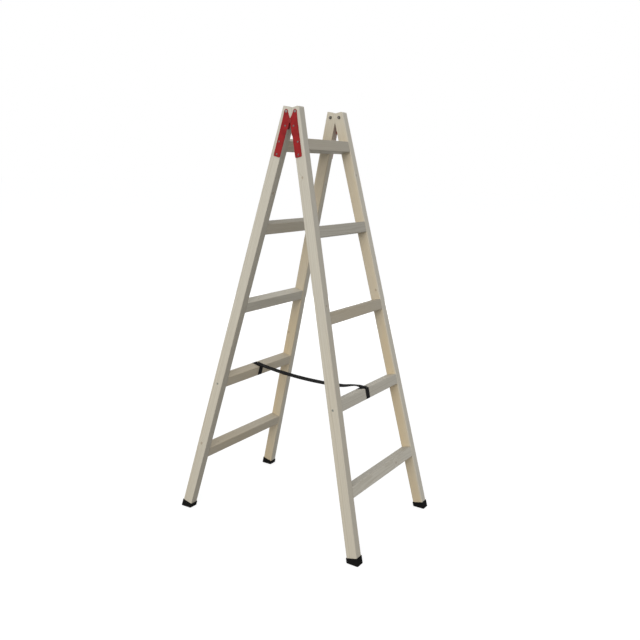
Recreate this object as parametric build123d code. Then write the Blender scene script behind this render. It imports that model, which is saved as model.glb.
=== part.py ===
from build123d import *
import os
from math import radians, degrees, sin, cos, tan, atan2, sqrt, floor

# Two ladder frames hinged at the top, sizes in millimetres, Z up, X along the rungs.
# Each frame is drawn upright with the hinge axis at the origin, then leaned over.

# The stand
lean = 13.5                   # lean of each frame when open, degrees
pivot_height = 1382.0         # hinge axis above the floor
top_above_pivot = 38.2        # stile heads above the hinge axis
fold_gap = 4.0                # between the two frames when they are folded together
stop_gap = 0.3                # left between the bevelled heads when they meet

# Stiles
outer_width_floor = 528.0     # over both stiles, at the floor
outer_width_top = 297.0       # over both stiles, at their heads
stile_thick = 30.0            # along X
stile_depth = 38.0            # front to back
stile_round = 2.0             # eased long edges
front_head_round = 7.0        # outer corner of the front heads
rear_head_round = 3.0         # outer corner of the rear heads

# Rungs and their mortise and tenon joints
rung_pitch = 280.0            # between rungs, along the stile
top_rung_drop = 83.3          # top rung's middle below the hinge axis
bottom_rung_rise = 160.0      # least height of the lowest rung's middle above the floor
rung_height = 37.0
rung_depth = 37.0
rung_round = 2.5              # eased long edges
tenon_height = 27.0
tenon_depth = 16.0
tenon_length = 20.0
mortise_end = 1.0             # mortise deeper than its tenon
tenon_clear = 0.1             # round each tenon

# Feet
foot_wall = 2.6               # moulded shoe's wall
foot_sole = 6.0               # under the stile end
foot_height = 21.0            # at the middle of the stile
foot_clear = 0.15             # between shoe and stile
foot_round = 4.5              # shoe's corner radius
foot_lip = 1.0                # bevel round the shoe's mouth and sole

# Hinge plates, pressed from steel sheet
plate_thick = 1.8
arm_drop = 120.8              # arm's lower end below the hinge axis
arm_inset = 0.4               # arm's inner edge behind the stile's inner edge
arm_width_end = 25.6          # at the lower end
arm_width_eye = 26.0          # beside the eye
arm_corner = 4.0              # rounded lower corners
head_radius = 7.0             # rounded top of the arm
notch_rise = 5.2              # where the arm's head leaves the eye
eye_radius = 5.6              # inner eye
eye_wall = 2.0                # cup of the outer eye, round the inner one
eye_play = 0.4                # running gap round the inner eye
eye_thick = 1.3               # each eye is pressed thinner, so that the pair lies flat
eye_gap = 0.25                # running gap between the eyes
eye_stand = 0.25              # inner eye clear of the other stile's face
flange_top = 4.0              # return flanges, their upper edge below the hinge axis
flange_height = 45.0          # of the front plate's flange
flange_reach = 25.0           # how far it goes back across the stile
lip_height = 24.0             # of the rear plate's smaller one
lip_reach = 8.0

# Pivot rivets
rivet_radius = 2.5
rivet_head_radius = 4.6
rivet_head_height = 0.7
rivet_tail_radius = 3.4       # closed end, countersunk flush behind the inner eye
rivet_tail_depth = 0.9
rivet_play = 0.05             # rivet in the eyes

# Hinge bolts, one through each stile head
bolt_from_edge = 21.0         # from the stile's inner edge
bolt_rise = 23.8              # above the hinge axis
bolt_radius = 2.5
bolt_head_radius = 4.8
bolt_head_height = 2.6
bolt_clear = 0.1
bolt_end = 2.0                # thread past the nut
washer_radius = 5.5
washer_thick = 1.2
nut_across = 8.0              # over its flats
nut_height = 4.0

# Hinge screws: (from the stile's inner edge, below the hinge axis)
screw_places = [(10.0, 20.3), (18.1, 72.8), (14.6, 112.8)]
screw_radius = 1.6
screw_head_radius = 3.2
screw_head_height = 1.8
screw_length = 20.0
screw_tip = 5.0
screw_point = 0.3             # radius at the very end
screw_clear = 0.05

# Screws through the stiles into the ends of the rungs that carry the strap
rung_screw_drop = 6.5         # below the rung's middle
rung_screw_length = 62.0
rung_screw_radius = 2.2
rung_screw_head = 4.2
rung_screw_sink = 2.6         # depth of the countersunk head
rung_screw_set = 0.5          # head below the stile's face

# Webbing strap
strap_width = 25.0
strap_thick = 2.0
strap_clear = 0.3             # between webbing and rung, and between its two layers
strap_front_x = -24.0         # middle of the loop on the front rung
strap_rear_x = 1.0            # middle of the loop on the rear rung
strap_tail = 24.0             # span laid back over each loop
strap_sag = 13.5              # middle of the span below its ends
strap_rung_up = 1             # rungs above the lowest one


# Derived places
a = radians(lean)
gap_half = fold_gap / 2
mid_d = gap_half + stile_depth / 2
out_d = gap_half + stile_depth
floor_z = -(pivot_height + mid_d * sin(a)) / cos(a)
slope = (outer_width_floor - outer_width_top) / 2 / (top_above_pivot - floor_z)
skew = sqrt(1 + slope ** 2)
stile_through = stile_thick / skew
plate_x = plate_thick * skew
rung_count = floor((-floor_z - bottom_rung_rise - top_rung_drop) / rung_pitch) + 1
strap_rung = rung_count - 1 - strap_rung_up
reach = outer_width_floor
arm_in = gap_half + arm_inset
bolt_d = gap_half + bolt_from_edge
cup_radius = eye_radius + eye_play + eye_wall


def out_x(z):
    """Outer face of the right stile at height z."""
    return outer_width_top / 2 + slope * (top_above_pivot - z)


def in_x(z):
    """Inner face of the right stile at height z."""
    return out_x(z) - stile_thick


def ground_z(d, lift):
    """Height of a level plane lift above the floor, on the upright frame at depth d."""
    return -(pivot_height - lift + d * sin(a)) / cos(a)


def rung_z(n):
    """Middle of rung n, counted from the top."""
    return -(top_rung_drop + n * rung_pitch)


def head_height(head_round):
    """Highest point of a leaning stile's rounded head above the floor."""
    rise = (top_above_pivot - head_round) * cos(a) + (out_d - head_round) * sin(a)
    return pivot_height + rise + head_round


def side_bar(points):
    """Outline of (depth, height) points in the side view, through the whole right half."""
    outline = Plane.YZ * Polyline(*[(-d, z) for d, z in points], close=True)
    return extrude(make_face(outline), amount=reach, dir=(1, 0, 0))


def front_bar(points):
    """Outline of (x, height) points in the front view, through the whole depth."""
    outline = Plane.XZ * Polyline(*points, close=True)
    return extrude(make_face(outline), amount=reach, dir=(0, 1, 0), both=True)


def stile_bar(grow, corner):
    """Right stile's section, grown on each face, as a bar along the stile's slope."""
    low = floor_z - stile_depth - foot_height
    high = top_above_pivot + stile_depth
    middle = Plane((out_x(low) - stile_thick / 2, -mid_d, low))
    section = middle * RectangleRounded(stile_thick + 2 * grow, stile_depth + 2 * grow, corner)
    return extrude(section, amount=(high - low) * skew, dir=(-slope, 0, 1))


def rod(x0, x1, radius):
    """Cylinder on the hinge axis from x0 to x1."""
    return Location((x0, 0, 0), (0, 90, 0)) * Cylinder(
        radius, x1 - x0, align=(Align.CENTER, Align.CENTER, Align.MIN))


def face_plane(d, z):
    """Plane on the right stile's outer face at depth d, height z, looking outward."""
    return Plane((out_x(z), -d, z), x_dir=(0, 1, 0), z_dir=(1, 0, slope))


def pin(radius, z0, z1):
    """Cylinder on the local Z axis from z0 to z1."""
    return Pos(0, 0, z0) * Cylinder(radius, z1 - z0, align=(Align.CENTER, Align.CENTER, Align.MIN))


def dome(radius, height):
    """Round-topped head standing on the local XY plane."""
    ball = (radius ** 2 + height ** 2) / (2 * height)
    return Pos(0, 0, height - ball) * Sphere(ball) & pin(ball, 0, height)


# Places of the hinge layers along X on the right-hand side
face_x = out_x(0)
eye_x = out_x(-eye_radius) + eye_stand
cup_x = eye_x + eye_thick + eye_gap


def hinge_bolt():
    end = stile_through + washer_thick + nut_height + bolt_end
    head = Pos(0, 0, plate_thick) * dome(bolt_head_radius, bolt_head_height)
    return pin(bolt_radius, -end, plate_thick) + head


def hinge_washer():
    top = -stile_through
    bottom = top - washer_thick
    hole = pin(bolt_radius + bolt_clear, bottom - washer_thick, top + washer_thick)
    return pin(washer_radius, bottom, top) - hole


def hinge_nut():
    top = -stile_through - washer_thick
    six = extrude(RegularPolygon(nut_across / 2, 6, major_radius=False), amount=nut_height)
    hole = pin(bolt_radius + bolt_clear, top - 2 * nut_height, top + nut_height)
    return Pos(0, 0, top - nut_height) * six - hole


def hinge_screw():
    body = pin(screw_radius, screw_tip - screw_length, plate_thick)
    body += Pos(0, 0, plate_thick) * dome(screw_head_radius, screw_head_height)
    point = Pos(0, 0, -screw_length) * Cone(
        screw_point, screw_radius, screw_tip, align=(Align.CENTER, Align.CENTER, Align.MIN))
    return body + point


def screw_hole(edge, drop):
    """Hole for one hinge screw, from outside the plate to just past the screw's point."""
    hole = pin(screw_radius + screw_clear, -screw_length - screw_clear, stile_thick)
    return face_plane(gap_half + edge, -drop) * hole


def rung_screw(grow):
    """Countersunk screw lying along X, head just under the stile's face."""
    z = rung_z(strap_rung) - rung_screw_drop
    x = out_x(z) - rung_screw_set
    head = Cone(rung_screw_radius + grow, rung_screw_head + grow, rung_screw_sink,
                align=(Align.CENTER, Align.CENTER, Align.MIN))
    screw = Pos(0, 0, -rung_screw_sink) * head
    screw += pin(rung_screw_radius + grow, -rung_screw_length - grow, -rung_screw_sink)
    if grow:
        screw += pin(rung_screw_head + grow, 0, stile_thick)
    return Plane((x, -mid_d, z), x_dir=(0, 1, 0), z_dir=(1, 0, 0)) * screw


def stile(head_round):
    """Right stile: sloping bar, bevelled and rounded head, level foot, mortises and drilled holes."""
    bevel_d = top_above_pivot * tan(a) + stop_gap / 2 / cos(a)
    bevel_z = (gap_half - stop_gap / 2 / cos(a)) / tan(a)
    near = gap_half - stile_round
    far = out_d + stile_round
    profile = [
        (near, ground_z(near, foot_sole)),
        (far, ground_z(far, foot_sole)),
        (far, top_above_pivot),
        (bevel_d, top_above_pivot),
        (gap_half, bevel_z),
        (near, bevel_z),
    ]
    body = stile_bar(0, stile_round) & side_bar(profile)
    shoulder_d = out_d - head_round
    shoulder_z = top_above_pivot - head_round
    past = top_above_pivot + head_round
    corner = side_bar([(shoulder_d, shoulder_z), (far, shoulder_z), (far, past), (shoulder_d, past)])
    body -= corner - Pos(0, -shoulder_d, shoulder_z) * rod(0, reach, head_round)
    for n in range(rung_count):
        z = rung_z(n)
        inner = in_x(z + tenon_height) - stile_thick
        outer = in_x(z) + tenon_length + mortise_end
        body -= Pos((inner + outer) / 2, -mid_d, z) * Box(
            outer - inner, tenon_depth + 2 * tenon_clear, tenon_height + 2 * tenon_clear)
    body -= face_plane(bolt_d, bolt_rise) * pin(bolt_radius + bolt_clear, -2 * stile_thick, stile_thick)
    for edge, drop in screw_places:
        body -= screw_hole(edge, drop)
    body -= rung_screw(screw_clear)
    return body


def rung(n):
    """Whole rung with its shouldered ends and two blind tenons."""
    z = rung_z(n)
    low = z - rung_height
    high = z + rung_height
    section = Plane((-reach / 2, -mid_d, z), x_dir=(0, 1, 0), z_dir=(1, 0, 0)) * RectangleRounded(
        rung_depth, rung_height, rung_round)
    bar = extrude(section, amount=reach)
    bar &= front_bar([(-in_x(low), low), (in_x(low), low), (in_x(high), high), (-in_x(high), high)])
    tenon_reach = in_x(z) + tenon_length
    bar += Pos(0, -mid_d, z) * Box(2 * tenon_reach, tenon_depth, tenon_height)
    holes = []
    if n == 0:
        holes += [screw_hole(edge, drop) for edge, drop in screw_places]
    if n == strap_rung:
        holes.append(rung_screw(screw_clear))
    for hole in holes:
        bar -= hole
        bar -= mirror(hole, about=Plane.YZ)
    return bar


def foot():
    """Moulded shoe: level sole, walls round the stile end, bevelled mouth and sole."""
    top = floor_z + foot_height
    near = gap_half - 2 * foot_wall
    far = out_d + 2 * foot_wall
    outside = [(near, ground_z(near, 0)), (far, ground_z(far, 0)), (far, top), (near, top)]
    inside = [(near, ground_z(near, foot_sole)), (far, ground_z(far, foot_sole)), (far, 0), (near, 0)]
    shoe = stile_bar(foot_wall, foot_round) & side_bar(outside)
    ends = shoe.faces().sort_by(Axis.Z)
    shoe = chamfer(ends[-1].edges() + ends[0].edges(), foot_lip)
    return shoe - (stile_bar(foot_clear, stile_round + foot_clear) & side_bar(inside))


def arm_outline(turned):
    """Side view of a hinge arm: rounded head at the bolt, straight arm, strip that turns back."""
    bottom = -arm_drop
    arm = make_face(Polyline(
        (-arm_in, bottom), (-arm_in - arm_width_end, bottom), (-arm_in - arm_width_eye, -cup_radius),
        (-bolt_d - head_radius, bolt_rise), (-bolt_d + head_radius, bolt_rise), (-arm_in, notch_rise),
        close=True))
    corners = arm.vertices().sort_by(Axis.Y)[:2]
    arm = fillet(corners, arm_corner)
    arm += Pos(-bolt_d, bolt_rise) * Circle(head_radius)
    strip_top = -cup_radius
    strip_low = -flange_top - turned
    arm += make_face(Polyline(
        (-gap_half + plate_thick, strip_low), (-arm_in - plate_thick, strip_low),
        (-arm_in - plate_thick, strip_top), (-gap_half + plate_thick, strip_top), close=True))
    return Plane.YZ * arm


def return_flange(turned, depth):
    """Sheet turned back across the right stile's inner edge."""
    top = -flange_top
    foot_z = top - turned
    across = front_bar([(out_x(foot_z) - depth, foot_z), (out_x(foot_z), foot_z),
                        (out_x(top), top), (out_x(top) - depth, top)])
    near = gap_half - plate_thick
    tab = [(gap_half, foot_z), (gap_half, top), (near, top), (near, foot_z)]
    return across & side_bar(tab)


def hinge_plate(outer_eye):
    """Right-hand hinge half: arm on the stile's outer face, one eye and a flange turned back."""
    low = -arm_drop - plate_thick
    high = bolt_rise + 2 * head_radius
    solid_arm = extrude(arm_outline(flange_height if outer_eye else lip_height), amount=reach, dir=(1, 0, 0))
    sheet = front_bar([(out_x(low), low), (out_x(low) + plate_x, low),
                       (out_x(high) + plate_x, high), (out_x(high), high)])
    plate = solid_arm & sheet
    outside = front_bar([(out_x(low), low), (reach, low), (reach, high), (out_x(high), high)])
    if outer_eye:
        plate -= rod(0, reach, eye_radius + eye_play)
        ring = rod(0, cup_x, cup_radius) - rod(0, cup_x, eye_radius + eye_play)
        plate += ring & solid_arm & outside
        plate += rod(cup_x, cup_x + eye_thick, cup_radius)
        plate += return_flange(flange_height, flange_reach)
    else:
        plate -= rod(cup_x - eye_gap, reach, cup_radius + eye_play)
        plate += rod(0, eye_x, eye_radius) & solid_arm & outside
        plate += rod(eye_x, eye_x + eye_thick, eye_radius)
        plate -= rivet_tail(rivet_play)
        plate += return_flange(lip_height, lip_reach)
    plate -= rod(0, reach, rivet_radius + rivet_play)
    plate -= face_plane(bolt_d, bolt_rise) * pin(bolt_radius + bolt_clear, -stile_thick, stile_thick)
    for edge, drop in screw_places:
        plate -= screw_hole(edge, drop)
    return plate


def rivet_tail(grow):
    """Countersunk inner end of the rivet."""
    return Location((eye_x, 0, 0), (0, 90, 0)) * Cone(
        rivet_tail_radius + grow, rivet_radius + grow, rivet_tail_depth,
        align=(Align.CENTER, Align.CENTER, Align.MIN))


def rivet():
    """Pivot rivet: low round head outside, shank through both eyes, countersunk end behind."""
    end = cup_x + eye_thick
    body = rod(eye_x, end, rivet_radius)
    body += Location((end, 0, 0), (0, 90, 0)) * dome(rivet_head_radius, rivet_head_height)
    return body + rivet_tail(0)


def strap_loop(x):
    """Webbing sewn into a loop round the strap rung, its middle at x."""
    z = rung_z(strap_rung)
    hole_y = rung_depth + 2 * strap_clear
    hole_z = rung_height + 2 * strap_clear
    hole_round = rung_round + strap_clear
    band = RectangleRounded(hole_y + 2 * strap_thick, hole_z + 2 * strap_thick, hole_round + strap_thick)
    band -= RectangleRounded(hole_y, hole_z, hole_round)
    start = Plane((x - strap_width / 2, -mid_d, z), x_dir=(0, 1, 0), z_dir=(1, 0, 0))
    return extrude(start * band, amount=strap_width)


def open_front(piece):
    """Lean an upright piece of the front frame and stand it on the floor."""
    return Pos(0, 0, pivot_height) * Rot(X=-lean) * piece


def open_rear(piece):
    """Same for a piece that belongs to the rear frame, turned to the other side."""
    return mirror(open_front(piece), about=Plane.XZ)


def left(piece):
    """The matching piece of the left-hand stile."""
    return mirror(piece, about=Plane.YZ)


def strap_span():
    """Free span of webbing: a hanging arc that runs on over both loops."""
    rise = rung_height / 2 + 2 * strap_clear + strap_thick
    edge_d = mid_d - rung_depth / 2
    z = rung_z(strap_rung) + rise
    edge_y = edge_d * cos(a) - z * sin(a)
    edge_z = pivot_height + edge_d * sin(a) + z * cos(a)
    turn = atan2(strap_rear_x - strap_front_x, 2 * edge_y)
    half = edge_y / cos(turn)
    lowest = edge_z - strap_sag
    thick = strap_thick
    tail_y = strap_tail * cos(a)
    tail_z = strap_tail * sin(a)
    low = [(-half - tail_y, edge_z + tail_z), (-half, edge_z),
           (half, edge_z), (half + tail_y, edge_z + tail_z)]
    lift_y = thick * sin(a)
    lift_z = thick * cos(a)
    high = [(low[0][0] + lift_y, low[0][1] + lift_z), (low[1][0] + lift_y, low[1][1] + lift_z),
            (low[2][0] - lift_y, low[2][1] + lift_z), (low[3][0] - lift_y, low[3][1] + lift_z)]
    outline = Line(low[0], low[1])
    outline += ThreePointArc(low[1], (0, lowest), low[2])
    outline += Line(low[2], low[3])
    outline += Line(low[3], high[3])
    outline += Line(high[3], high[2])
    outline += ThreePointArc(high[2], (0, lowest + thick), high[1])
    outline += Line(high[1], high[0])
    outline += Line(high[0], low[0])
    ribbon = extrude(make_face(Plane.YZ * outline), amount=strap_width / 2, dir=(1, 0, 0), both=True)
    middle = (strap_front_x + strap_rear_x) / 2
    return Pos(middle, 0, 0) * Rot(Z=-degrees(turn)) * ribbon


os.makedirs("parts", exist_ok=True)


def save(name, *solids):
    piece = solids[0] if len(solids) == 1 else Compound(children=list(solids))
    export_step(piece, f"parts/{name}.step")


# Shared shapes, drawn once for the right-hand side
foot_right = foot()
bolt_right = face_plane(bolt_d, bolt_rise) * hinge_bolt()
washer_right = face_plane(bolt_d, bolt_rise) * hinge_washer()
nut_right = face_plane(bolt_d, bolt_rise) * hinge_nut()
screws_right = [face_plane(gap_half + edge, -drop) * hinge_screw() for edge, drop in screw_places]
rung_screw_right = rung_screw(0)
rungs = [rung(n) for n in range(rung_count)]

for frame, stand in (("front", open_front), ("rear", open_rear)):
    plate = hinge_plate(frame == "front")
    stile_right = stile(front_head_round if frame == "front" else rear_head_round)
    save(f"{frame}_stile_right", stand(stile_right))
    save(f"{frame}_stile_left", stand(left(stile_right)))
    save(f"{frame}_foot_right", stand(foot_right))
    save(f"{frame}_foot_left", stand(left(foot_right)))
    save(f"{frame}_hinge_plate_right", stand(plate))
    save(f"{frame}_hinge_plate_left", stand(left(plate)))
    save(f"{frame}_hinge_bolts", stand(bolt_right), stand(left(bolt_right)))
    save(f"{frame}_hinge_washers", stand(washer_right), stand(left(washer_right)))
    save(f"{frame}_hinge_nuts", stand(nut_right), stand(left(nut_right)))
    save(f"{frame}_hinge_screws", *[stand(s) for s in screws_right], *[stand(left(s)) for s in screws_right])
    save(f"{frame}_rung_screws", stand(rung_screw_right), stand(left(rung_screw_right)))
    for n in range(rung_count):
        save(f"{frame}_rung_{n + 1}", stand(rungs[n]))

save("hinge_rivets", open_front(rivet()), open_front(left(rivet())))
save("strap_loop_front", open_front(strap_loop(strap_front_x)))
save("strap_loop_rear", open_rear(strap_loop(strap_rear_x)))
save("strap_span", strap_span())

print("rungs", rung_count, "height", round(head_height(rear_head_round), 1))
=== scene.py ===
# %% [markdown]
# A double-sided wooden ladder. The solids come in as a fixed frame: every stile, rung, shoe and hinge
# plate already has its size and place, so this file only adds what they lack. That is the look of pine,
# paint, plastic and zinc, the webbing strap, and the small screws that are best made in Blender.

# %% Load the ladder
import random
from math import atan2, cos, degrees, hypot, pi, radians, sin

import bpy
from mathutils import Euler, Matrix, Vector


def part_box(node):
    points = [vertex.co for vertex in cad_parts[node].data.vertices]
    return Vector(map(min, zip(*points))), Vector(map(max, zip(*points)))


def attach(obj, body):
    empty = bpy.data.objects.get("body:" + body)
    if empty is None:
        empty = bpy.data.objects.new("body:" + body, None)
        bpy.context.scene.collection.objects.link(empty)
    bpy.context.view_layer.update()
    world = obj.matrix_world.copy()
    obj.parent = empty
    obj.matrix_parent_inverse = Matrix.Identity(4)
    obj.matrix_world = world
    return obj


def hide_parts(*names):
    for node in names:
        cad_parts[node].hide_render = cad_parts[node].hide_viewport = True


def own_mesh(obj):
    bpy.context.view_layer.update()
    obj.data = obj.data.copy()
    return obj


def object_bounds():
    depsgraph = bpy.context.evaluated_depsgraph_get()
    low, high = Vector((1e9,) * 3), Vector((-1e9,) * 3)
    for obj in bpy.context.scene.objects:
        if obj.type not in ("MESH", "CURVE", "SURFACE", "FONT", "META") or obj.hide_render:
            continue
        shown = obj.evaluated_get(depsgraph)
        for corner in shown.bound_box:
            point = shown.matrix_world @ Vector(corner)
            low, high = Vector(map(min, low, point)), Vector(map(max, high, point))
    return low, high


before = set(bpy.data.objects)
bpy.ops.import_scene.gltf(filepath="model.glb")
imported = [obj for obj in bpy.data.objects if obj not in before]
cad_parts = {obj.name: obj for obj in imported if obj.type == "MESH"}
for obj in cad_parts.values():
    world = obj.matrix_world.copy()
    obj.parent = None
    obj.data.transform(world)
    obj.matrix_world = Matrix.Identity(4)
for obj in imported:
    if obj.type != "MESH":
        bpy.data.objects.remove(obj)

cad_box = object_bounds()
scene = bpy.context.scene
scene.view_settings.view_transform = "Standard"
print("nodes", len(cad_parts), "box", [[round(v, 4) for v in corner] for corner in cad_box])

# %% [markdown]
# Both frames lean on one hinge axis by the same angle. Two directions then describe a frame: up along its
# stiles, and out, away from the other frame. The stiles also close in towards the top, by a small tilt.
# Each piece could have numbers of its own, but with these few directions what is made for one frame or one
# end fits the others as well.

# %% Directions of the two frames
SIDES = {"front": -1, "rear": 1}
ENDS = {"left": -1, "right": 1}
LEAN_DEGREES = 13.5
WIDTH_AT_FLOOR = 0.528
WIDTH_AT_HEADS = 0.297

lean = radians(LEAN_DEGREES)
stile_length = cad_box[1][2] / cos(lean)
stile_tilt = atan2((WIDTH_AT_FLOOR - WIDTH_AT_HEADS) / 2, stile_length)


def up_along(side):
    """Unit vector up the front or the rear frame."""
    return Vector((0, -SIDES[side] * sin(lean), cos(lean)))


def outward(side):
    """Unit vector square to that frame, away from the other one."""
    return Vector((0, SIDES[side] * cos(lean), sin(lean)))


def stile_face(side, sign):
    """Unit vector out of the stiles' outer face, at the left (-1) or right (+1) end."""
    return Vector((sign * cos(stile_tilt), 0, 0)) + up_along(side) * sin(stile_tilt)


def middle(node):
    """Middle of a node's box."""
    low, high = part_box(node)
    return (Vector(low) + Vector(high)) / 2


print("lean", LEAN_DEGREES, "tilt", round(degrees(stile_tilt), 2), "degrees")

# %% [markdown]
# The camera is placed the way it stood for the picture: a little above the middle of the ladder, off one
# corner, looking slightly down. A constraint could aim it, but would keep it level, and this camera has a
# slight roll. So its heading, tilt and roll are plain angles, turned into a rotation in that order. The
# focal length was found in pixels of a 640 pixel frame.

# %% Camera
IMAGE_SIDE = 640
FOCAL_PIXELS = 740.1
SENSOR_WIDTH = 36.0
CAMERA_PLACE = (-2.1533, -1.3879, 1.2526)
HEADING = 32.059
TILT = -11.978
ROLL = 1.693

camera_data = bpy.data.cameras.new("camera")
camera_data.sensor_width = SENSOR_WIDTH
camera_data.lens = FOCAL_PIXELS * SENSOR_WIDTH / IMAGE_SIDE
camera = bpy.data.objects.new("camera", camera_data)
scene.collection.objects.link(camera)
turn = Matrix.Rotation(radians(HEADING - 90), 4, "Z") @ Matrix.Rotation(radians(90 + TILT), 4, "X")
turn = turn @ Matrix.Rotation(radians(ROLL), 4, "Z")
camera.matrix_world = Matrix.Translation(CAMERA_PLACE) @ turn
scene.camera = camera
print("lens", round(camera_data.lens, 2), "mm")

# %% [markdown]
# The finishes could be pictures wrapped round the pieces, but a pattern worked out from the place of each
# point has no seams and stays sharp close up. Such a material is a tree of nodes, and most of its nodes are
# arithmetic. A few small helpers keep the trees readable: they start an empty material, add a node with its
# settings, and feed the commonest kinds of node with sockets or plain numbers. A Mix node has sockets for
# numbers, vectors and colours, so its factor and its colour sockets are picked by their position.

# %% Helpers for nodes
MIX_INPUTS = (0, 6, 7)
MIX_RESULT = 2


def new_material(name):
    """Empty node material; returns it with its tree."""
    material = bpy.data.materials.new(name)
    material.use_nodes = True
    material.node_tree.nodes.clear()
    return material, material.node_tree


def add(tree, kind, links=None, **settings):
    """Add a node. A setting is an attribute, or else an input named with underscores for spaces."""
    node = tree.nodes.new(kind)
    for key, value in settings.items():
        if hasattr(node, key):
            setattr(node, key, value)
        else:
            node.inputs[key.replace("_", " ")].default_value = value
    for key, socket in (links or {}).items():
        tree.links.new(socket, node.inputs[key])
    return node


def math(tree, operation, *values, clamp=False):
    """Math node fed by sockets or plain numbers; returns its result."""
    node = add(tree, "ShaderNodeMath", operation=operation, use_clamp=clamp)
    for socket, value in zip(node.inputs, values):
        if isinstance(value, (int, float)):
            socket.default_value = value
        else:
            tree.links.new(value, socket)
    return node.outputs[0]


def mix(tree, factor, first, second, blend="MIX"):
    """Mix two colours, each a socket or an (r, g, b) tuple."""
    node = add(tree, "ShaderNodeMix", data_type="RGBA", blend_type=blend, clamp_factor=True)
    for index, value in zip(MIX_INPUTS, (factor, first, second)):
        socket = node.inputs[index]
        if isinstance(value, (int, float)):
            socket.default_value = value
        elif isinstance(value, tuple):
            socket.default_value = (*value, 1.0)
        else:
            tree.links.new(value, socket)
    return node.outputs[MIX_RESULT]


print("node helpers ready")

# %% [markdown]
# A pattern starts from Object coordinates, which stay with the piece wherever it moves. Noise gives it
# chance, a smooth step turns a slow change into an edge, and a bump makes the light follow the pattern. All
# finishes of the ladder end in the same Principled shader, so one helper closes their trees. Materials could
# be changed on each piece by hand, but the last helper does it in one line.

# %% Helpers for patterns and surfaces
NOISE_ROUGHNESS = 0.55


def object_place(tree):
    """Place of a point in the coordinates of its own piece."""
    return add(tree, "ShaderNodeTexCoord").outputs["Object"]


def ramp(tree, factor, low, high):
    """Smooth step from 0 at low to 1 at high."""
    node = add(tree, "ShaderNodeMapRange", {"Value": factor}, interpolation_type="SMOOTHSTEP")
    node.inputs["From Min"].default_value = low
    node.inputs["From Max"].default_value = high
    return node.outputs[0]


def noise(tree, place, scale, detail=3.0):
    """Noise at a place, finer as scale grows; a scale of three numbers stretches it axis by axis."""
    if isinstance(scale, tuple):
        place = add(tree, "ShaderNodeMapping", {"Vector": place}, Scale=scale).outputs[0]
        scale = 1.0
    node = add(tree, "ShaderNodeTexNoise", {"Vector": place},
               Scale=scale, Detail=detail, Roughness=NOISE_ROUGHNESS)
    return node.outputs["Fac"]


def finish_surface(tree, colour, roughness, height, depth, strength=0.5, **constants):
    """Principled surface from a colour, a roughness and a bump of some depth in metres."""
    shader = add(tree, "ShaderNodeBsdfPrincipled", {"Base Color": colour}, **constants)
    if isinstance(roughness, (int, float)):
        shader.inputs["Roughness"].default_value = roughness
    else:
        tree.links.new(roughness, shader.inputs["Roughness"])
    bump = add(tree, "ShaderNodeBump", {"Height": height}, Strength=strength, Distance=depth)
    tree.links.new(bump.outputs[0], shader.inputs["Normal"])
    add(tree, "ShaderNodeOutputMaterial", {"Surface": shader.outputs[0]})


def dress(piece, material):
    """Give a piece one material in place of what it has."""
    piece.data.materials.clear()
    piece.data.materials.append(material)


print("surface helpers ready")

# %% [markdown]
# The ladder stands on a white floor in a white surround, as in a product picture. Strong light would give
# that white too, but it would bleach the wood. So the floor is a plain grey that keeps the ladder's soft
# shadow, with some brightness added for the rays that see it directly, and the object isn't lit by it.

# %% Floor and surround
FLOOR_SIDE = 60.0
FLOOR_GREY = 0.26
AMBIENT = 0.60
DAYLIGHT = (0.985, 0.992, 1.035)
WHITE = (1.0, 1.0, 1.0)
FLOOR_GLOW = 1.0 - FLOOR_GREY * AMBIENT


def seen_directly(tree, *kinds):
    """1 for camera rays and for the other kinds of ray that see the background itself."""
    rays = add(tree, "ShaderNodeLightPath")
    value = rays.outputs["Is Camera Ray"]
    for kind in kinds:
        value = math(tree, "MAXIMUM", value, rays.outputs[kind])
    return value


def deselect():
    """Leave nothing selected, so that an operator acts on the new piece alone."""
    if bpy.context.object and bpy.context.object.mode != "OBJECT":
        bpy.ops.object.mode_set(mode="OBJECT")
    bpy.ops.object.select_all(action="DESELECT")


deselect()
bpy.ops.mesh.primitive_plane_add(size=FLOOR_SIDE)
floor = bpy.context.object
floor.name = "floor"
floor_white, tree = new_material("floor_white")
glow = math(tree, "MULTIPLY", seen_directly(tree, "Is Glossy Ray"), FLOOR_GLOW)
shine = add(tree, "ShaderNodeEmission", {"Strength": glow})
matt = add(tree, "ShaderNodeBsdfDiffuse", Color=(FLOOR_GREY, FLOOR_GREY, FLOOR_GREY, 1))
both = add(tree, "ShaderNodeAddShader", {0: shine.outputs[0], 1: matt.outputs[0]})
add(tree, "ShaderNodeOutputMaterial", {"Surface": both.outputs[0]})
dress(floor, floor_white)

scene.world = bpy.data.worlds.new("surround")
scene.world.use_nodes = True
tree = scene.world.node_tree
tree.nodes.clear()
seen = seen_directly(tree, "Is Glossy Ray", "Is Transmission Ray")
strength = math(tree, "MULTIPLY_ADD", seen, 1.0 - AMBIENT, AMBIENT)
tint = mix(tree, seen, DAYLIGHT, WHITE)
sky = add(tree, "ShaderNodeBackground", {"Strength": strength, "Color": tint})
add(tree, "ShaderNodeOutputWorld", {"Surface": sky.outputs[0]})
print("floor", FLOOR_SIDE, "m, surround at", AMBIENT)

# %% [markdown]
# One large soft lamp stands far off to the left and well above the ladder, so the faces on that side are the
# brightest and each rung throws a soft shade below itself. A sun lamp would give hard edges. The large one
# is slightly warmer than the surround, as a lamp beside daylight is, so the shaded faces look a little
# cooler. A weaker lamp opposite lifts the two sides that the picture doesn't show, so the ladder can be
# turned round. It stands low and is hidden from glossy rays, so it puts no glare on the tops of the rungs.

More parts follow.
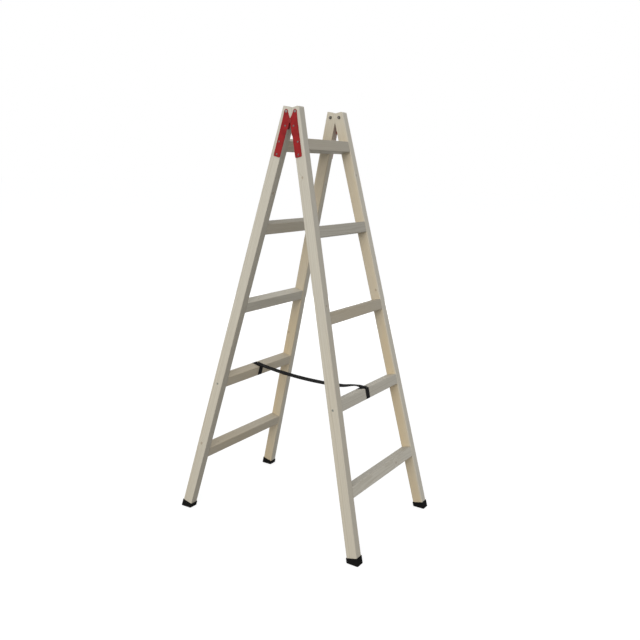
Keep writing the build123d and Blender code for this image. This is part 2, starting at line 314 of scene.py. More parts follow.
# %% Lamps
LAMP_WARMTH = (1.0, 0.985, 0.955)
LAMP_AIM = Vector((0, 0, 0.7))
KEY_PLACE = Vector((-8.8, -2.0, 4.1))
KEY_SIZE = (5.2, 5.2)
KEY_POWER = 468.0
FILL_PLACE = Vector((4.1, 1.7, 0.55))
FILL_SIZE = (2.4, 0.8)
FILL_POWER = 60.0


def stand_lamp(name, place, size, power):
    """Soft lamp of a width and a height that faces the middle of the ladder."""
    lamp = bpy.data.lights.new(name, "AREA")
    lamp.shape = "RECTANGLE"
    lamp.size, lamp.size_y = size
    lamp.energy = power
    lamp.color = LAMP_WARMTH
    stand = bpy.data.objects.new(name, lamp)
    scene.collection.objects.link(stand)
    stand.location = place
    stand.rotation_euler = (LAMP_AIM - place).to_track_quat("-Z", "Y").to_euler()
    print(name, power, "W")
    return stand


stand_lamp("key_lamp", KEY_PLACE, KEY_SIZE, KEY_POWER)
fill_lamp = stand_lamp("fill_lamp", FILL_PLACE, FILL_SIZE, FILL_POWER)
fill_lamp.visible_glossy = False

# %% [markdown]
# The strap is black webbing, woven flat, looped round the fourth rung of each frame and hanging between
# them. A curve with a flat profile could make it, but a curve chooses its own twist. So a strip is a grid
# laid along a route: each row of the grid goes to one place of the route, and each column to one place
# across the strap. Solidify gives it thickness and Bevel rounds its woven edges. The grid brings its own UV
# map. It is rescaled to metres, so the weave has one size on every strip.

# %% Helpers for strips of webbing
STRAP_WIDTH = 0.025
STRAP_THICK = 0.002
STRAP_CLEAR = 0.0003
STRAP_EDGE = 0.0006
STRAP_COLUMNS = 8
SHARP_ANGLE = radians(60)
SMOOTH_ANGLE = radians(50)


def apply_modifier(piece, kind, **settings):
    """Add one modifier, set it and apply it."""
    bpy.context.view_layer.objects.active = piece
    modifier = piece.modifiers.new(kind.lower(), kind)
    for key, value in settings.items():
        setattr(modifier, key, value)
    bpy.ops.object.modifier_apply(modifier=modifier.name)


def lay_webbing(name, route, across, closed=False, rolls=None):
    """Strip of webbing along a list of points; across is the direction of its width before it rolls."""
    deselect()
    rows = len(route) - 1
    bpy.ops.mesh.primitive_grid_add(x_subdivisions=STRAP_COLUMNS, y_subdivisions=rows, size=1)
    strip = bpy.context.object
    strip.name = name
    mesh = strip.data
    length = sum((b - a).length for a, b in zip(route, route[1:]))
    for corner in mesh.uv_layers[0].data:
        corner.uv = (corner.uv.x * STRAP_WIDTH, corner.uv.y * length)
    straight = (route[-1] - route[0]).normalized()
    for vertex in mesh.vertices:
        row = round((vertex.co.y + 0.5) * rows)
        over = Matrix.Rotation(rolls[row], 3, straight) @ across if rolls else across
        vertex.co = route[row] + over * (vertex.co.x * STRAP_WIDTH)
    if closed:
        bpy.ops.object.mode_set(mode="EDIT")
        bpy.ops.mesh.select_all(action="SELECT")
        bpy.ops.mesh.remove_doubles(threshold=STRAP_CLEAR / 2)
        bpy.ops.object.mode_set(mode="OBJECT")
    apply_modifier(strip, "SOLIDIFY", thickness=STRAP_THICK, offset=1.0, use_even_offset=True)
    apply_modifier(strip, "BEVEL", width=STRAP_EDGE, segments=2,
                   limit_method="ANGLE", angle_limit=SHARP_ANGLE)
    bpy.ops.object.shade_smooth_by_angle(angle=SMOOTH_ANGLE)
    return strip


print("strap", STRAP_WIDTH, "wide", STRAP_THICK, "thick")

# %% [markdown]
# Each end of the strap is a loop sewn round its rung. A copy of the rung's solid could be swelled into a
# sleeve, but a laid strip carries the weave round the corners. Its route goes once round the rung's rounded
# square section: four corner arcs in the plane of the frame's own two directions. The thickness grows to the
# side that the strip's faces look to, so the two frames, which mirror each other, run their routes opposite
# ways.

# %% Routes round the rungs
RUNG_SIDE = 0.037
RUNG_ROUND = 0.0025
LOOP_X = {"front": -0.024, "rear": 0.001}
CORNERS = ((1, 1, 90), (1, -1, 0), (-1, -1, -90), (-1, 1, -180))
CORNER_STEPS = 6
along_rung = Vector((1, 0, 0))


def strap_rung(side):
    """Middle of the strap's loop on its rung."""
    centre = middle(f"{side}_rung_4")
    centre.x = LOOP_X[side]
    return centre


def loop_route(side):
    """Closed route round the strap's rung, starting on its top, going outward."""
    out, up = outward(side), up_along(side)
    reach = RUNG_SIDE / 2 - RUNG_ROUND
    radius = RUNG_ROUND + STRAP_CLEAR
    points = []
    for out_sign, up_sign, first_angle in CORNERS:
        centre = strap_rung(side) + out * (out_sign * reach) + up * (up_sign * reach)
        for step in range(CORNER_STEPS + 1):
            angle = radians(first_angle - 90 * step / CORNER_STEPS)
            points.append(centre + (out * cos(angle) + up * sin(angle)) * radius)
    return points + [points[0].copy()]


for side in SIDES:
    print(side, "loop at", [round(v, 4) for v in strap_rung(side)])

# %% [markdown]
# On top of each loop lies the sewn tail of the span, as a second layer. It could lie flat all along, and at
# the rear rung it does. At the front one it is sewn down near the rung's outer edge alone. Webbing is
# springy, so from that seam the tail's free part goes on almost level while the rung's top slopes down under
# it, and it rolls a little as it leaves. Height and roll fade out along the free part, so the seam stays
# flat.

# %% Strap loops and sewn tails
TAIL_LENGTH = {"front": 0.033, "rear": 0.024}
TAIL_FREE = {"front": 0.020, "rear": 0.004}
SEAM_LIFT = {"front": 0.0068, "rear": 0.0}
SEAM_ROLL = {"front": 6.0, "rear": 0.0}
TAIL_STEPS = 16
LAYER = STRAP_THICK + 2 * STRAP_CLEAR


def sewn_edge(side):
    """Where the span leaves the loop at the rung's inner top edge, on its underside."""
    inward = outward(side) * (RUNG_SIDE / 2)
    return strap_rung(side) - inward + up_along(side) * (RUNG_SIDE / 2 + LAYER)


def tail_route(side):
    """Points and rolls from above the rung's inner top edge down onto the loop and flat along it."""
    points, rolls = [], []
    for step in range(TAIL_STEPS + 1):
        reach = TAIL_LENGTH[side] * step / TAIL_STEPS
        free = max(0.0, 1 - reach / TAIL_FREE[side])
        lift = SEAM_LIFT[side] * free * (3 - free) / 2
        points.append(sewn_edge(side) + outward(side) * reach + Vector((0, 0, lift)))
        rolls.append(radians(SEAM_ROLL[side] * free))
    return points, rolls


strips = []
for side, sign in SIDES.items():
    loop = lay_webbing(f"webbing_loop_{side}", loop_route(side)[::-sign], along_rung, closed=True)
    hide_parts(f"strap_loop_{side}")
    points, rolls = tail_route(side)
    tail = lay_webbing(f"webbing_tail_{side}", points[::sign], along_rung, rolls=rolls[::sign])
    for piece in (loop, tail):
        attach(piece, f"{side}_frame")
        strips.append(piece)
        print(piece.name, "polygons", len(piece.data.polygons))

# %% [markdown]
# The free span hangs from above the inner top edge of one rung to the other. A cloth simulation could drop
# it into place, but a strap this short hangs in a shallow arc, and an arc is the same each time. The span
# takes over the height and the roll of the front tail, sinks into the arc within a hand's width, and rolls
# one way and back by a few degrees as slack webbing does. When the ladder folds, the two edges come within a
# few millimetres of each other and the webbing bunches between them.

# %% Strap span
SPAN_ROWS = 120
SPAN_SAG = 0.0135
LIFT_SHARE = 0.17
SPAN_ROLLS = (
    (0.0, SEAM_ROLL["front"]),
    (0.11, -8.0),
    (0.4, -7.0),
    (0.7, -5.0),
    (1.0, SEAM_ROLL["rear"]),
)


def ease(part):
    """Smooth step from 0 to 1."""
    return (1 - cos(pi * part)) / 2


def span_roll(part):
    """Roll of the webbing at a part of its length, eased from one chosen place to the next."""
    for (a, low), (b, high) in zip(SPAN_ROLLS, SPAN_ROLLS[1:]):
        if part <= b:
            return radians(low + (high - low) * ease((part - a) / (b - a)))


start, end = sewn_edge("front"), sewn_edge("rear")
along = (end - start).normalized()
across_span = along.cross(Vector((0, 0, 1))).normalized()
half = (end - start).length / 2
sag_turn = 2 * atan2(SPAN_SAG, half)
sag_radius = half / sin(sag_turn)
span_route, span_rolls = [], []
for row in range(SPAN_ROWS + 1):
    part = row / SPAN_ROWS
    angle = sag_turn * (2 * part - 1)
    drop = sag_radius * (cos(angle) - cos(sag_turn))
    lift = SEAM_LIFT["front"] * (1 - ease(min(part / LIFT_SHARE, 1.0)))
    level = (start + end) / 2 + along * (sag_radius * sin(angle))
    span_route.append(level + Vector((0, 0, lift - drop)))
    span_rolls.append(span_roll(part))

span = lay_webbing("webbing_span", span_route, across_span, rolls=span_rolls)
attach(span, "front_frame")
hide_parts("strap_span")
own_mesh(span)
strips.append(span)
print("span", round(2 * half, 3), "sag", SPAN_SAG)

# %% [markdown]
# Webbing is a plain weave of coarse warp ribs. Modelling every yarn would take far too many faces, so the
# weave is a bump. Each rib is a column across the strap, and along the column the yarn rises and dips;
# neighbouring columns are half a step apart. Two humps multiplied give that pattern from the UV map alone.
# The yarn is dark polypropylene with a faint sheen, dusty on its high points. Its colour is darker down in
# the hollows of the weave than on the ribs, which is painted shade.

# %% Webbing material
RIB_WIDTH = 0.0021
RIB_LENGTH = 0.0030
# Colour down in the weave's hollows, darker as painted shade, and on the ribs.
YARN_HOLLOW_SHADE = (0.0035, 0.0035, 0.0035)
YARN_HIGH = (0.014, 0.0135, 0.013)
YARN_DUST = (0.045, 0.042, 0.038)
DUST_SCALE = 60.0
DUST_EDGE = (0.45, 0.75)
DUST_AMOUNT = 0.3
FUZZ_SCALE = 2600.0
FUZZ_HEIGHT = 0.25
WEAVE_DEPTH = 0.0005
YARN_ROUGHNESS = 0.8


def hump(tree, value):
    """Rises from 0 to 1 and falls back, once in each whole step of a value."""
    return math(tree, "SINE", math(tree, "MULTIPLY", math(tree, "FRACT", value), pi))


webbing, tree = new_material("black_webbing")
uv = add(tree, "ShaderNodeSeparateXYZ", {0: add(tree, "ShaderNodeUVMap").outputs[0]})
column = math(tree, "DIVIDE", uv.outputs[0], RIB_WIDTH)
shift = math(tree, "MULTIPLY", math(tree, "MODULO", math(tree, "FLOOR", column), 2.0), 0.5)
row = math(tree, "ADD", math(tree, "DIVIDE", uv.outputs[1], RIB_LENGTH), shift)
weave = math(tree, "MULTIPLY", hump(tree, column), hump(tree, row))
place = object_place(tree)
fuzz = noise(tree, place, FUZZ_SCALE, detail=2.0)
dust = ramp(tree, noise(tree, place, DUST_SCALE), *DUST_EDGE)
dust = math(tree, "MULTIPLY", dust, math(tree, "MULTIPLY", weave, DUST_AMOUNT))
# Painted shade darkens the hollows of the weave; dust lies on the high points.
yarn = mix(tree, dust, mix(tree, weave, YARN_HOLLOW_SHADE, YARN_HIGH), YARN_DUST)
height = math(tree, "ADD", weave, math(tree, "MULTIPLY", fuzz, FUZZ_HEIGHT))
finish_surface(tree, yarn, YARN_ROUGHNESS, height, WEAVE_DEPTH, strength=0.8,
               Specular_IOR_Level=0.06, Sheen_Weight=0.02)
for strip in strips:
    dress(strip, webbing)
print("weave", round(STRAP_WIDTH / RIB_WIDTH, 1), "ribs across")

# %% [markdown]
# The sewn ends are held by a box of stitches with a cross in it. A bump could draw them, but thread stands
# up and catches light. So a stitch is a small ball drawn out into a bead of thread and half sunk into the
# webbing. It is modelled once here, with the finish of twisted thread.

# %% One stitch
STITCH_LENGTH = 0.0024
STITCH_RADIUS = 0.00035
THREAD_DARK = (0.008, 0.008, 0.008)
THREAD_LIGHT = (0.035, 0.034, 0.032)
THREAD_ROUGHNESS = 0.6
TWIST_SCALE = 3500.0
TWIST_DEPTH = 0.0001

thread, tree = new_material("black_thread")
twist = noise(tree, object_place(tree), TWIST_SCALE, detail=2.0)
finish_surface(tree, mix(tree, twist, THREAD_DARK, THREAD_LIGHT), THREAD_ROUGHNESS, twist, TWIST_DEPTH,
               Specular_IOR_Level=0.2)

deselect()
bpy.ops.mesh.primitive_uv_sphere_add(segments=8, ring_count=6, radius=STITCH_RADIUS)
bead = bpy.context.object
bead.name = "stitch"
bpy.ops.object.mode_set(mode="EDIT")
bpy.ops.mesh.select_all(action="SELECT")
bpy.ops.transform.resize(value=(STITCH_LENGTH / 2 / STITCH_RADIUS, 1, 1))
bpy.ops.object.mode_set(mode="OBJECT")
bpy.ops.object.shade_smooth()
print("stitch polygons", len(bead.data.polygons))

# %% [markdown]
# The seam runs round the box and over its two diagonals. The stitch is copied along those lines, a whole
# number of steps to each line, so that none ends halfway. An array could repeat it along one line at a time,
# but copies can be turned freely, and joined they make each sewn end one piece.

# %% Stitched boxes
STITCH_PITCH = 0.0030
BOX_HALF = 0.0085
SEAM_MARGIN = 0.0025


def stitch_lines(across, along_tail):
    """Sides of a stitched box of two half sizes and its two diagonals, as pairs of points."""
    ring = [(-across, -along_tail), (across, -along_tail), (across, along_tail), (-across, along_tail)]
    return list(zip(ring, ring[1:] + ring[:1])) + [(ring[0], ring[2]), (ring[1], ring[3])]


def copy_of(model, placing):
    """Copy of a model with its own mesh, moved by a matrix."""
    copy = model.copy()
    copy.data = model.data.copy()
    scene.collection.objects.link(copy)
    copy.data.transform(placing)
    return copy


def join(copies, name, material):
    """Join copies into one named piece with one material."""
    deselect()
    for copy in copies:
        copy.select_set(True)
    bpy.context.view_layer.objects.active = copies[0]
    bpy.ops.object.join()
    piece = bpy.context.object
    piece.name = name
    dress(piece, material)
    return piece


for side in SIDES:
    copies = []
    out, up = outward(side), up_along(side)
    seam_middle = (TAIL_FREE[side] + TAIL_LENGTH[side]) / 2
    seam_half = (TAIL_LENGTH[side] - TAIL_FREE[side]) / 2 - SEAM_MARGIN
    box_middle = sewn_edge(side) + out * seam_middle + up * STRAP_THICK
    for a, b in stitch_lines(BOX_HALF, seam_half):
        reach = hypot(b[0] - a[0], b[1] - a[1])
        count = round(reach / STITCH_PITCH)
        heading = (along_rung * (b[0] - a[0]) + out * (b[1] - a[1])) / reach
        first = box_middle + along_rung * a[0] + out * a[1]
        turned = Matrix((heading, up.cross(heading), up)).transposed().to_4x4()
        for i in range(count):
            place = first + heading * ((i + 0.5) * reach / count)
            copies.append(copy_of(bead, Matrix.Translation(place) @ turned))
    stitches = len(copies)
    sewing = join(copies, f"stitching_{side}", thread)
    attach(sewing, f"{side}_frame")
    print(sewing.name, "stitches", stitches)
bpy.data.objects.remove(bead)

# %% [markdown]
# The stiles and rungs are planed pine. A picture of wood would stop or stretch at every edge, so pine is
# drawn as the tree made it, in three dimensions. Rings grow round a pith that lies outside the bar, and a
# bar sawn from them shows straight lines on one face, long loops on the next and arcs on its end. So the
# pattern is the distance from the pith line, in coordinates turned along each bar, and slow noise makes the
# rings wander.

# %% Rings round the pith
WANDER_SCALE = (22, 22, 2.4)
WANDER_WIDTH = 0.012


def grain_space(tree, node, turn):
    """Object coordinates turned so that Z runs along the bar, from its middle."""
    shift = -(Euler(turn).to_matrix() @ middle(node))
    place = object_place(tree)
    return add(tree, "ShaderNodeMapping", {"Vector": place}, Rotation=turn, Location=shift).outputs[0]


def diagonal(tree, first, second):
    """Distance over two directions at right angles."""
    squares = [math(tree, "MULTIPLY", value, value) for value in (first, second)]
    return math(tree, "SQRT", math(tree, "ADD", *squares))


def ring_radius(tree, bar, axes, pith):
    """Distance from the pith line, which wanders along the bar."""
    across = math(tree, "SUBTRACT", axes.outputs[0], pith[0])
    through = math(tree, "SUBTRACT", axes.outputs[1], pith[1])
    wander = noise(tree, bar, WANDER_SCALE, detail=2.0)
    return math(tree, "MULTIPLY_ADD", wander, WANDER_WIDTH, diagonal(tree, across, through))


print("rings wander by up to", WANDER_WIDTH)

# %% [markdown]
# A knot is the foot of a branch that the trunk grew round. It crosses the bar as a small plug, longer along
# the grain than across it, and the rings flow past on both sides. It could be painted on, but then the rings
# would run through it. So a knot adds a soft swelling to the distance from the pith, which pushes the rings
# aside, and also gives a mask with a ragged rim, to be coloured later. Its sizes are shares of its radius.

# %% Knots
KNOT_SHORTENING = 0.8
KNOT_REACH = 2.4
KNOT_PUSH = 1.5
RIM_SCALE = (300, 300, 60)
RIM_RAGGED = 0.5
RIM_INNER = 0.9
RIM_OUTER = 1.35


def knot_distance(tree, axes, face, place, offset):
    """Distance from a knot that crosses the bar along its face axis."""
    side_on = math(tree, "SUBTRACT", axes.outputs[1 - face], offset)
    along_bar = math(tree, "SUBTRACT", axes.outputs[2], place)
    return diagonal(tree, side_on, math(tree, "MULTIPLY", along_bar, KNOT_SHORTENING))


def grow_knots(tree, bar, axes, radius, knots):
    """Push the rings aside at each knot; returns the new ring distance and the mask of the knots."""
    rough_edge = noise(tree, bar, RIM_SCALE, detail=2.0)
    mask = None
    for face, place, offset, size in knots:
        distance = knot_distance(tree, axes, face, place, offset)
        near = math(tree, "DIVIDE", distance, KNOT_REACH * size)
        fade = math(tree, "MULTIPLY", math(tree, "MULTIPLY", near, near), -1.0)
        radius = math(tree, "MULTIPLY_ADD", math(tree, "EXPONENT", fade), KNOT_PUSH * size, radius)
        ragged = math(tree, "MULTIPLY_ADD", rough_edge, RIM_RAGGED * size, distance)
        outside = ramp(tree, ragged, RIM_INNER * size, RIM_OUTER * size)
        inside = math(tree, "SUBTRACT", 1.0, outside)
        mask = inside if mask is None else math(tree, "MAXIMUM", mask, inside)
    return radius, mask


print("knots push the rings within about", KNOT_REACH, "radii")

# %% [markdown]
# In spring the tree grows wide pale cells, and later in the year narrow dark ones, so each ring darkens
# slowly and ends sharply. An even stripe would look printed, because no two years are alike. So slow noise
# changes the width of the rings, each year gets its own strength by chance, and large soft patches of a bar
# show the rings more than others.

# %% Late wood
GROWTH_RINGS = 3.5
GROWTH_SHIFT = 2.4
LATE_RISE = (0.35, 0.86)
LATE_FALL = (0.9, 1.0)
YEAR_SPREAD, YEAR_LEAST = 0.85, 0.35
PATCH_SCALE = (14, 14, 1.7)
PATCH_SPREAD, PATCH_LEAST = 0.9, 0.05


def late_wood(tree, bar, radius, ring):
    """0 in the early wood of each year, rising towards the dark end of its ring."""
    slow = math(tree, "DIVIDE", radius, GROWTH_RINGS * ring)
    growth = add(tree, "ShaderNodeTexNoise", {"W": slow}, noise_dimensions="1D", Scale=1.0, Detail=1.0)
    even_years = math(tree, "DIVIDE", radius, ring)
    years = math(tree, "MULTIPLY_ADD", growth.outputs["Fac"], GROWTH_SHIFT, even_years)
    year = math(tree, "FLOOR", years)
    season = add(tree, "ShaderNodeTexWhiteNoise", {"W": year}, noise_dimensions="1D").outputs["Value"]
    phase = math(tree, "FRACT", years)
    ending = math(tree, "SUBTRACT", 1.0, ramp(tree, phase, *LATE_FALL))
    late = math(tree, "MULTIPLY", ramp(tree, phase, *LATE_RISE), ending)
    late = math(tree, "MULTIPLY", late, math(tree, "MULTIPLY_ADD", season, YEAR_SPREAD, YEAR_LEAST))
    patch = noise(tree, bar, PATCH_SCALE, detail=2.0)
    return math(tree, "MULTIPLY", late, math(tree, "MULTIPLY_ADD", patch, PATCH_SPREAD, PATCH_LEAST))


print("late wood from", LATE_RISE[0], "to", LATE_FALL[1], "of each year")

# %% [markdown]
# The heartwood near the pith is warmer than the sapwood round it, so a bar can have one honey face and one
# pale. Two materials on one bar would meet in a straight line, so instead a warm tint stops at a chosen
# distance from the pith. Its strength is given at three places along the bar and drifts with slow noise.
# The two sides of a bar are also sawn at different angles to the rings, so one side may be lighter or darker
# One side of some bars is also made lighter or darker than the others, as far as its own edges: that is
# painted light and shade, standing in for how much light falls on that side.

# %% Heartwood and faces with painted light
DRIFT_SCALE = (9, 9, 2.1)
DRIFT_EDGE = (0.35, 0.75)
DRIFT_SPREAD, DRIFT_LEAST = 0.6, 0.7
HEART_EDGE = 0.006
HEAD_LENGTH = 0.12
FACE_EDGE = 0.0025


def heart_warmth(tree, bar, axes, radius, half_length, warmth, heart):
    """Strength of the warm tint, from its values at the bar's low end, below its head and at its head."""
    low, high, head = warmth
    up_bar = ramp(tree, axes.outputs[2], -half_length, half_length)
    flush = math(tree, "MULTIPLY_ADD", up_bar, high - low, low)
    at_head = ramp(tree, axes.outputs[2], half_length - HEAD_LENGTH, half_length)
    flush = math(tree, "MULTIPLY_ADD", at_head, head - high, flush)
    drift = ramp(tree, noise(tree, bar, DRIFT_SCALE), *DRIFT_EDGE)
    flush = math(tree, "MULTIPLY", flush, math(tree, "MULTIPLY_ADD", drift, DRIFT_SPREAD, DRIFT_LEAST))
    sapwood = ramp(tree, radius, heart - HEART_EDGE, heart + HEART_EDGE)
    return math(tree, "MULTIPLY", flush, math(tree, "SUBTRACT", 1.0, sapwood))


def face_distance(node, turn, axis):
    """How far the low side of a bar lies from its middle along one of its own axes."""
    turned, centre = Euler(turn).to_matrix(), middle(node)
    return max(-(turned @ (vertex.co - centre))[axis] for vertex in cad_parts[node].data.vertices)


def paint_face_light(tree, axes, shade, axis, reach, light):
    """Multiply the shade on the side of a bar that lies at a distance down one of its axes by a painted
    light factor.
    """
    down_axis = math(tree, "MULTIPLY", axes.outputs[axis], -1.0)
    on_face = ramp(tree, down_axis, reach - FACE_EDGE, reach)
    return math(tree, "MULTIPLY", shade, math(tree, "MULTIPLY_ADD", on_face, light - 1.0, 1.0))


print("heartwood fades over", 2 * HEART_EDGE)

# %% [markdown]
# The material of a bar brings these together. Fine noise drawn out along the grain makes streaks and fibres,
# the planer's knives leave a faint even ripple, and the fibres are also what makes the surface rough. One
# material could serve all bars, but the grain has to run along each bar, so there is one for each, built by
# one function.

# %% Pine
EARLY_WOOD = (0.600, 0.572, 0.485)
LATE_WOOD = (0.395, 0.355, 0.275)
WARM_TINT = (0.602, 0.458, 0.250)
KNOT_BROWN = (0.290, 0.200, 0.120)
KNOT_TONE = 0.5
STREAK_SCALE = (240, 240, 5)
STREAK_TONE = 0.5
LATE_TONE = 0.55
FIBRE_SCALE = (1500, 1500, 34)
FIBRE_SPREAD, FIBRE_LEAST = 0.22, 0.89
FIBRE_HEIGHT, LATE_HEIGHT, PLANER_HEIGHT = 0.7, 0.35, 0.03
PLANER_PITCH = 0.0042
PINE_SPREAD, PINE_SMOOTH = 0.2, 0.5
PINE_DEPTH = 0.0002


def pine(name, node, turn, half_length, pith, ring, warmth, heart, light, knots, painted_face=None):
    """Material of one bar, in metres; the last argument is (axis, light) of one side with painted light and
    shade.
    """
    material, tree = new_material(name)
    bar = grain_space(tree, node, turn)
    axes = add(tree, "ShaderNodeSeparateXYZ", {0: bar})
    radius, knot_mask = grow_knots(tree, bar, axes, ring_radius(tree, bar, axes, pith), knots)
    late = late_wood(tree, bar, radius, ring)
    streak = noise(tree, bar, STREAK_SCALE, detail=4.0)
    tone = math(tree, "MULTIPLY_ADD", streak, STREAK_TONE, math(tree, "MULTIPLY", late, LATE_TONE))
    flush = heart_warmth(tree, bar, axes, radius, half_length, warmth, heart)
    colour = mix(tree, flush, mix(tree, tone, EARLY_WOOD, LATE_WOOD), WARM_TINT)
    fibre = noise(tree, bar, FIBRE_SCALE)
    # The bar's light multiplies its colour: its own tone together with painted light and shade.
    shade = math(tree, "MULTIPLY_ADD", fibre, FIBRE_SPREAD * light, FIBRE_LEAST * light)
    # One side may get painted light or shade of its own.
    if painted_face:
        axis, painted_light = painted_face
        shade = paint_face_light(tree, axes, shade, axis, face_distance(node, turn, axis), painted_light)
    grey = add(tree, "ShaderNodeCombineColor", {0: shade, 1: shade, 2: shade}).outputs[0]
    colour = mix(tree, 1.0, colour, grey, blend="MULTIPLY")
    if knot_mask is not None:
        colour = mix(tree, math(tree, "MULTIPLY", knot_mask, KNOT_TONE), colour, KNOT_BROWN)
    planer = math(tree, "SINE", math(tree, "MULTIPLY", axes.outputs[2], 2 * pi / PLANER_PITCH))
    fibre_height = math(tree, "MULTIPLY", fibre, FIBRE_HEIGHT)
    height = math(tree, "ADD", fibre_height, math(tree, "MULTIPLY", late, LATE_HEIGHT))
    height = math(tree, "MULTIPLY_ADD", planer, PLANER_HEIGHT, height)
    rough = math(tree, "MULTIPLY_ADD", fibre, PINE_SPREAD, PINE_SMOOTH)
    finish_surface(tree, colour, rough, height, PINE_DEPTH, Specular_IOR_Level=0.35)
    return material


print("planer ripple", PLANER_PITCH)

# %% [markdown]
# Every bar is a different piece of timber, so each gets its own pith, ring width and knots. They could be
# chosen bar by bar, but chance does that well enough, as long as it is drawn from one seeded source and so
# comes out the same each time. Warmth and light are chosen. Warmth says which bars look pale and which
# honey.
# Light brightens or darkens a whole bar: partly its own tone, and partly painted light and shade, for bars
# that stand in more light or more shade. The right stiles have a honey face beside a pale one, so where
# their pith lies and how far their heartwood reaches are chosen too. The stiles turn by the lean and the
# tilt, and the rungs by the lean and a quarter turn that lays the grain along X.

# %% Character of the bars
SEED = 20
RUNGS = range(1, 6)
PALE, CREAM, STRAW, HONEY, GOLDEN, AMBER = 0.0, 0.12, 0.18, 0.28, 0.42, 0.55
DUSKY, DIM, SOFT, PLAIN, BRIGHT = 0.85, 0.91, 0.96, 1.0, 1.15
RUNG_WARMTH = {"front": (CREAM, PALE, HONEY, PALE, PALE), "rear": (CREAM, CREAM, PALE, HONEY, HONEY)}
# Light of each bar, here and for the stiles below: partly its own tone, partly painted light and shade.
RUNG_TONE_AND_LIGHT = {"front": (DUSKY, DUSKY, DUSKY, PLAIN, BRIGHT), "rear": (PLAIN, DIM, PLAIN, PLAIN, SOFT)}
STILE_WARMTH = {"left": (CREAM, PALE, PALE), "right": (AMBER, GOLDEN, STRAW)}
STILE_TONE_AND_LIGHT = {
    "front_stile_left": 1.07,
    "rear_stile_left": 1.09,
    "front_stile_right": 1.10,
    "rear_stile_right": 1.11,
}
RUNG_TOP, STILE_FRONT = 0, 1
# Painted light and shade: one side of each of these bars is made lighter or darker by its factor.
PAINTED_FACE_LIGHT = {
    "front_stile_left": (STILE_FRONT, 0.95),
    "front_stile_right": (STILE_FRONT, 1.09),
    "rear_stile_left": (STILE_FRONT, 0.85),
    "front_rung_3": (RUNG_TOP, 0.86),
    "front_rung_4": (RUNG_TOP, 0.94),
    "front_rung_5": (RUNG_TOP, 0.72),
    "rear_rung_2": (RUNG_TOP, 0.74),
    "rear_rung_3": (RUNG_TOP, 1.11),
    "rear_rung_4": (RUNG_TOP, 0.96),
    "rear_rung_5": (RUNG_TOP, 0.97),
}
ALL_HEART = 1.0
HEART_FACE = {"front_stile_right": (-0.040, 0.030, 0.056), "rear_stile_right": (-0.045, 0.020, 0.062)}
draw = random.Random(SEED)
print("bars with one odd face", len(PAINTED_FACE_LIGHT))

# %% Dress the stiles and rungs
PITH_NEAR, PITH_FAR = 0.03, 0.08
RING_NARROW, RING_WIDE = 0.0026, 0.0040
KNOT_PLACES = 0.85
KNOT_OFFSET = 0.009
KNOT_SMALL, KNOT_LARGE = 0.7, 1.3
STILE_KNOTS = 2
STILE_KNOT_SIZE = 0.0045
RUNG_KNOT_SIZE = 0.0035


def timber(node, turn, half_length, knot_count, knot_size, warmth, light):
    """One bar of pine with its own drawn character."""
    angle = draw.uniform(0, 2 * pi)
    far = draw.uniform(PITH_NEAR, PITH_FAR)
    ring = draw.uniform(RING_NARROW, RING_WIDE)
    across, through, heart = HEART_FACE.get(node, (far * cos(angle), far * sin(angle), ALL_HEART))
    knots = []
    for _ in range(knot_count):
        place = draw.uniform(-KNOT_PLACES, KNOT_PLACES) * half_length
        size = draw.uniform(KNOT_SMALL, KNOT_LARGE) * knot_size
        knots.append((draw.randint(0, 1), place, draw.uniform(-KNOT_OFFSET, KNOT_OFFSET), size))
    material = pine(f"pine_{node}", node, turn, half_length, (across, through), ring,
                    warmth, heart, light, knots, PAINTED_FACE_LIGHT.get(node))
    dress(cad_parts[node], material)


for side, sign in SIDES.items():
    for end_name, end_sign in ENDS.items():
        node = f"{side}_stile_{end_name}"
        turn = (-sign * lean, end_sign * stile_tilt, 0)
        timber(node, turn, stile_length / 2, STILE_KNOTS, STILE_KNOT_SIZE,
               STILE_WARMTH[end_name], STILE_TONE_AND_LIGHT[node])
    for n in RUNGS:
        node = f"{side}_rung_{n}"
        low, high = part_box(node)
        turn = (-sign * lean, -pi / 2, 0)
        warmth, light = RUNG_WARMTH[side][n - 1], RUNG_TONE_AND_LIGHT[side][n - 1]
        timber(node, turn, (high[0] - low[0]) / 2, n % 2, RUNG_KNOT_SIZE, (warmth, warmth, warmth), light)
print("bars dressed", len(SIDES) * (len(ENDS) + len(RUNGS)))

# %% [markdown]
# The hinge plates are pressed steel with one coat of red paint. Paint this thick is slightly wavy, and it
# wears first along edges. Wear could be painted by hand on each plate, but the Bevel node finds the edges by
# itself: it gives the normal that a rounded edge would have, and where that differs from the true one there
# is an edge. Noise breaks that band into chips of dull steel.

# %% Red paint
PAINT_RED = (0.335, 0.0130, 0.0135)
PAINT_DARK = (0.215, 0.0085, 0.0090)
BARE_STEEL = (0.120, 0.060, 0.055)
CLOUD_SCALE, SPECK_SCALE, PEEL_SCALE = 45.0, 420.0, 900.0
CLOUD_EDGE = (0.35, 0.75)
CHIP_BAND = 0.0014
CHIP_GAIN = 2.2
CHIP_FROM, CHIP_FULL = 1.02, 1.10
CHIP_TONE = 0.85
PEEL_HEIGHT = 0.3
PAINT_SPREAD, PAINT_SMOOTH = 0.2, 0.28
PAINT_DEPTH = 0.0001
PLATE_WEAR, RIVET_WEAR = 0.0, -0.1


def edge_band(tree, radius):
    """0 on flat areas, rising to 1 on sharp edges."""
    soft = add(tree, "ShaderNodeBevel", samples=4, Radius=radius).outputs[0]
    true = add(tree, "ShaderNodeNewGeometry").outputs["Normal"]
    dot = add(tree, "ShaderNodeVectorMath", {0: soft, 1: true}, operation="DOT_PRODUCT")
    return math(tree, "SUBTRACT", 1.0, dot.outputs["Value"], clamp=True)


